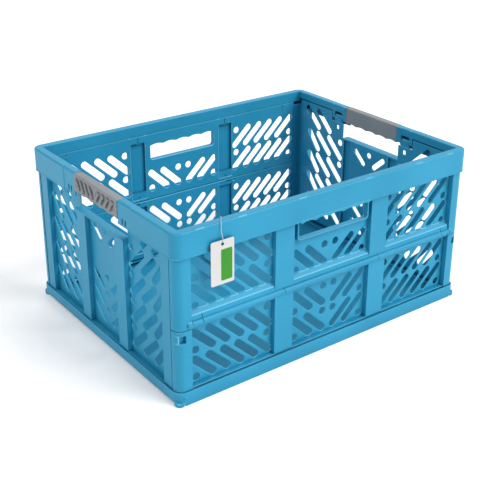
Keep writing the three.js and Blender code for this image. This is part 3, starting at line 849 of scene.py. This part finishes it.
def floor_panel(half_x, half_y):
    """A thin closed floor over a grid of shallow ribs."""
    outline = rounded(-half_x + 3 * MM, half_x - 3 * MM, -half_y + 2 * MM, half_y - 2 * MM, 8 * MM, 6)
    plate = sheet(outline, [], 1.1 * MM, FINE_EDGE)
    plate.transform(Matrix.Translation((0, 0, 0.6 * MM)))
    parts = [plate]
    half, low, radius, edge = 0.8 * MM, 0.1 * MM, 0.5 * MM, 0.15 * MM
    far_x, far_y = half_x - 12 * MM, half_y - 4 * MM
    columns, rows = 9, 6
    for i in range(columns + 1):
        x = (i - columns / 2) * 50 * MM
        parts.append(block(x - half, x + half, -far_y, far_y, low, 0.8 * MM, radius, edge))
    for j in range(rows + 1):
        y = (j - rows / 2) * 54 * MM
        parts.append(block(-far_x, far_x, y - half, y + half, low, 0.75 * MM, radius, edge))
    return joined(parts)


def base_tray():
    half_x, half_y = base_high[0], base_high[1]
    radius = CORNER - 1 * MM
    low = 4.5 * MM
    step = 10 * MM
    wall = tray_wall(half_x, half_y, radius, SKIN, radius - SKIN, BASE_TOP - low, 0.7 * MM, 2)
    wall.transform(Matrix.Translation((0, 0, low)))
    parts = [wall, tray_wall(half_x - step, half_y, 4 * MM, 4 * MM, 3 * MM, 5.5 * MM, 0.5 * MM)]
    for side in BOTH:
        x0, x1 = between(side, half_x - 13 * MM, half_x - 1 * MM)
        y1 = half_y - 2 * MM
        parts.append(block(x0, x1, -y1, y1, 4.6 * MM, 5.8 * MM, 1 * MM, FINE_EDGE))
    parts += [corner_foot(half_x, half_y, sx, sy) for sx, sy in FOUR_CORNERS]
    parts.append(floor_panel(half_x, half_y))
    parts = [cut_away(joined(parts), corner_holes(half_x, half_y))]
    for x in BEARING_PLACES:
        for side in BOTH:
            y0, y1 = between(side, SIDE_PLANE + SKIN, SIDE_PLANE + BEARING_W)
            parts.append(block(x - BEARING_HALF, x + BEARING_HALF, y0, y1, 1.5 * MM, BASE_AXIS + 2.5 * MM))
    return joined(parts)


# ---- Top frame ----
def frame_profile(inner_bottom, handle):
    """The frame's section as (distance in from its outer face, height), beaded along its lower edge."""
    out = (BEAD + HANDLE_SET_BACK) if handle else BEAD
    lip = HANDLE_SET_BACK if handle else 0
    low = SKIRT_BOTTOM + (2 * MM if handle else 0)
    width = RIM_WIDTH
    outer = arc((out + 3 * MM, TOP - 3 * MM), 3 * MM, 2 * QUARTER, QUARTER, 6)
    inner = arc((width - 1.6 * MM, TOP - 1.6 * MM), 1.6 * MM, QUARTER, 0, 4)
    return [(lip + 0.6 * MM, low), (lip + 0.15 * MM, low + 0.3 * MM), (lip, low + 0.8 * MM),
            (lip + 0.2 * MM, low + 1.5 * MM), (out, low + 2.2 * MM), *outer, *inner,
            (width, inner_bottom + 0.5 * MM), (width - 0.5 * MM, inner_bottom), (width - SKIN, inner_bottom),
            (width - SKIN, TOP - SKIN), (out + SKIN + 0.4 * MM, TOP - SKIN - 0.8 * MM),
            (out + SKIN, low + 0.5 * MM), (out + SKIN - 0.5 * MM, low)]


def frame_stations():
    """Places along the front half of the rim, from the left grip to the right one.

    Each is a point, its outward direction, the inner skirt's lower edge and whether a grip is near.
    """
    x, y, r = HALF_LENGTH, HALF_WIDTH, CORNER
    step = 0.25 * MM
    left = [((-x, -grip_high[1] - 0.6 * MM), (-1, 0), END_RIM_INNER, True),
            ((-x, -HANDLE_ZONE + step), (-1, 0), END_RIM_INNER, True),
            ((-x, -HANDLE_ZONE - step), (-1, 0), END_RIM_INNER, False)]
    bend = []
    steps = 14
    for i in range(steps + 1):
        angle = math.pi + QUARTER * i / steps
        normal = (math.cos(angle), math.sin(angle))
        bottom = END_RIM_INNER if i < steps / 2 else SIDE_RIM_INNER
        bend.append(((-x + r + r * normal[0], -y + r + r * normal[1]), normal, bottom, False))
    half = left + bend
    mirror = [((-p[0], p[1]), (-n[0], n[1]), bottom, handle) for p, n, bottom, handle in reversed(half)]
    return half + mirror


def swept_frame():
    rings = []
    for (px, py), (nx, ny), bottom, handle in frame_stations():
        rings.append([(px - nx * inset, py - ny * inset, z) for inset, z in frame_profile(bottom, handle)])
    return lofted("rim", rings)


def window_pads():
    """Pads behind the skirt that the narrow windows run into."""
    return [block(end_x(11.8 * MM), end_x(7.9 * MM), *between(side, *WINDOW_PAD), 216.5 * MM, 229 * MM,
                  0.8 * MM, FINE_EDGE) for side in BOTH]


def frame_windows():
    """Two narrow windows beside each end of each grip, over the flap's hinge."""
    x0, x1 = end_x(RIM_WIDTH + 2 * MM), end_x(8.5 * MM)
    return [block(x0, x1, y - WINDOW_HALF, y + WINDOW_HALF, 218.5 * MM, 227 * MM, 0.4 * MM, 0.1 * MM)
            for y in WINDOW_PLACES]


def finger_edge():
    """The skirt's lower edge over a hand hole, with a hollow for each finger."""
    half, low = HAND_HOLE_HALF, SKIRT_BOTTOM
    top = low + 3 * MM
    hollows = scallops(-half, 2 * half / FINGERS, low, SKIRT_SCALLOP)
    return [(-half, top), (-half, low), *((x + 0.1 * MM, z) for x, z in hollows), (half, low), (half, top)]


def bar_ends(side):
    """The bar's two thicker lengths beside a grip, with a gap between them for the flap's lug."""
    depth, top = RIM_WIDTH - 7 * MM, TOP - 1 * MM
    near = rounded(0.2 * MM, depth, FLAP_AXIS - 6 * MM, top, 1.5 * MM, 3)
    far = rounded(0.2 * MM, depth, FLAP_AXIS - 4.5 * MM, top, 1.5 * MM, 3)
    return [end_rail(near, *between(side, grip_high[1] + 0.6 * MM, LUG[0] - 0.6 * MM)),
            end_rail(far, *between(side, LUG[1] + 0.6 * MM, EAR_START - 2 * MM))]


def top_frame():
    solid = joined([swept_frame(), *window_pads()])
    front = cut_away(solid, frame_windows() + turned_meshes(frame_windows()))
    parts = with_turned([front])
    for side in BOTH:
        parts += with_turned(bar_ends(side))
    bar = rounded(2.6 * MM, RIM_WIDTH - 1.3 * MM, 224 * MM, TOP - 2.9 * MM, 2 * MM, 4)
    parts += with_turned([end_rail(bar, -grip_high[1] - 2 * MM, grip_high[1] + 2 * MM)])
    parts += with_turned([side_sheet(finger_edge(), [], RIM_WIDTH - SKIN, RIM_WIDTH - 0.15 * MM, 0.4 * MM)])
    y0, y1 = side_y(BEARING_W), side_y(SKIN + 0.3 * MM)
    for x in BEARING_PLACES:
        parts += with_turned([block(x - BEARING_HALF, x + BEARING_HALF, y0, y1, FRAME_AXIS - 3 * MM,
                                    TOP - 1 * MM)])
    return joined(parts)


# ---- Grips ----
def grip_section(scallop):
    """The sleeve's outer outline as (w, z); scallop lifts its lower edge."""
    low = grip_low[2] + scallop
    width = RIM_WIDTH
    radius = 2.2 * MM
    return (arc((width - 3 * MM, TOP - 3 * MM), 3 * MM, 0, QUARTER, 5)
            + arc((radius, TOP - radius), radius, QUARTER, 2 * QUARTER, 4)
            + arc((radius, low + radius), radius, 2 * QUARTER, 3 * QUARTER, 4)
            + arc((width - radius, low + radius), radius, 3 * QUARTER, 4 * QUARTER, 4))


def grip_ring(station):
    """The sleeve's section at one station along it, a little smaller at the two ends."""
    half = grip_high[1]
    y = -half + 2 * half * station / GRIP_STATIONS
    share = (station * FINGERS / GRIP_STATIONS) % 1
    end_round = 0.5 * MM if station in (0, GRIP_STATIONS) else 0
    middle_w, middle_z = RIM_WIDTH / 2, (TOP + grip_low[2]) / 2
    ring = []
    for w, z in grip_section(GRIP_SCALLOP * abs(math.sin(math.pi * share))):
        w -= math.copysign(end_round, w - middle_w)
        z -= math.copysign(end_round, z - middle_z)
        ring.append((end_x(w), y, z))
    return ring


def grip_chevrons():
    """Shapes across the outer face: chevrons that lean toward the middle, with small dots beside them."""
    cutters = []
    middle = (TOP + grip_low[2]) / 2 + 1.5 * MM
    dot = 1.2 * MM
    for side in BOTH:
        for i in range(4):
            a = side * (9 + 12.6 * i) * MM
            for outline in (slot((a, middle), side * 3.6 * MM, 6 * MM, 1.7 * MM, 5),
                            slot((a + side * 5 * MM, middle + 4.2 * MM), side * 0.6 * MM, 1.2 * MM, dot, 4),
                            circle((a + side * 6.2 * MM, middle - 5 * MM), dot, 10)):
                cutters.append(end_sheet(outline, [], RIM_WIDTH - 4 * MM, RIM_WIDTH + 2 * MM, 0.1 * MM))
    return cutters


def soft_grip():
    """A sleeve over the bar, with a scalloped lower edge and raised chevron strips on its outer face."""
    sleeve = lofted("grip", [grip_ring(station) for station in range(GRIP_STATIONS + 1)])
    bore = rounded(2.4 * MM, RIM_WIDTH - 1.15 * MM, 223.8 * MM, TOP - 2.7 * MM, 2 * MM, 4)
    return cut_away(sleeve, [end_rail(bore, -grip_high[1] - 5 * MM, grip_high[1] + 5 * MM), *grip_chevrons()])


def make_frame():
    piece("rim", top_frame(), BLUE, "frame", ["top_frame"])
    grip = soft_grip()
    for name, turned in (("left", False), ("right", True)):
        piece(f"soft_grip_{name}", grip, GREY, "frame", [f"grip_{name}"], turned)


# ---- Hang tag ----
def make_tag():
    """A blank card with one plain block of colour and an eyelet."""
    half_x = (tag_high[0] - tag_low[0]) / 2
    half_z = (tag_high[2] - tag_low[2]) / 2
    face = tag_high[1]
    outline = rounded(-half_x, half_x, -half_z, half_z, 2.5 * MM, 5)
    hole = circle((0, EYELET_Z - TAG_MIDDLE), 2 * MM)
    card = placed(sheet(outline, [hole], 0.7 * MM, 0.1 * MM), FACING_FRONT, (TAG_X, face, TAG_MIDDLE))
    card_piece = piece("blank_card", card, CARD, "frame", ["hang_tag"])
    patch = rounded(-2.5 * MM, half_x - 3 * MM, -half_z + 5 * MM, half_z - 13 * MM, 2 * MM, 5)
    green = sheet(patch, [], 0.06 * MM, 0.01 * MM)
    placed(green, FACING_FRONT, (TAG_X, face - 0.68 * MM, TAG_MIDDLE))
    green_piece = piece("green_block", green, GREEN, "frame")
    ring = sheet(circle((0, 0), 2.3 * MM, 28), [circle((0, 0), 1.3 * MM, 20)], 1.4 * MM, 0.3 * MM, 2)
    placed(ring, FACING_FRONT, (TAG_X, face + 0.3 * MM, EYELET_Z))
    eyelet_piece = piece("eyelet", ring, EYELET, "frame", ["tag_eyelet"])
    return [card_piece, green_piece, eyelet_piece]


def thread_route():
    """Knots of the thread: over the rim, down inside it, and back out through a slot under the skirt."""
    inside = -(SIDE_PLANE - 1.5 * MM)
    outside = -(HALF_WIDTH + 1.2 * MM)
    over = TOP + 1 * MM
    knots = [(0, -204.9 * MM, 225 * MM), (0, -204.7 * MM, 229 * MM), (0, outside, 239 * MM),
             (0, outside, 249 * MM), (1 * MM, -199.5 * MM, over), (9.5 * MM, -187 * MM, over),
             (10 * MM, inside, 248.5 * MM), (2 * MM, inside, 204 * MM), (0, -187 * MM, 196.5 * MM),
             (0, -193 * MM, 196 * MM), (0, outside, 207 * MM), (0, -202.2 * MM, 216 * MM)]
    return [Vector((TAG_X + x, y, z)) for x, y, z in knots]


def smooth_path(knots, steps=3):
    """A centripetal Catmull-Rom curve through the knots."""
    ends = [2 * knots[0] - knots[1], *knots, 2 * knots[-1] - knots[-2]]
    path = []
    for a, b, c, d in zip(ends, ends[1:], ends[2:], ends[3:]):
        t1 = (b - a).length ** 0.5
        t2 = t1 + (c - b).length ** 0.5
        t3 = t2 + (d - c).length ** 0.5
        for step in range(steps):
            t = t1 + (t2 - t1) * step / steps
            a1 = a.lerp(b, t / t1)
            a2 = b.lerp(c, (t - t1) / (t2 - t1))
            a3 = c.lerp(d, (t - t2) / (t3 - t2))
            b1 = a1.lerp(a2, t / t2)
            b2 = a2.lerp(a3, (t - t1) / (t3 - t1))
            path.append(b1.lerp(b2, (t - t1) / (t2 - t1)))
    path.append(knots[-1])
    return path


def make_thread(hung):
    route = smooth_path(thread_route())
    curve = bpy.data.curves.new("thread", "CURVE")
    curve.dimensions = "3D"
    curve.bevel_depth = 0.4 * MM
    curve.bevel_resolution = 3
    spline = curve.splines.new("POLY")
    spline.points.add(len(route) - 1)
    for point, place in zip(spline.points, route):
        point.co = (*place, 1)
    curve.materials.append(THREAD)
    thread = bpy.data.objects.new("thread", curve)
    bpy.context.scene.collection.objects.link(thread)
    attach(thread, "frame")
    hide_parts("tag_thread")


# ---- Rods and pins keep their CAD shape ----
def dress_rods():
    for name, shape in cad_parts.items():
        if "rod" in name or "pin" in name:
            for place in shape.material_slots:
                place.material = COATED_WIRE if "rod" in name else STEEL


make_camera()
make_thread(make_tag())
make_studio()
piece("tray", base_tray(), BLUE, "base", ["base_tray"])
make_long_sides()
make_flaps()
make_frame()
dress_rods()
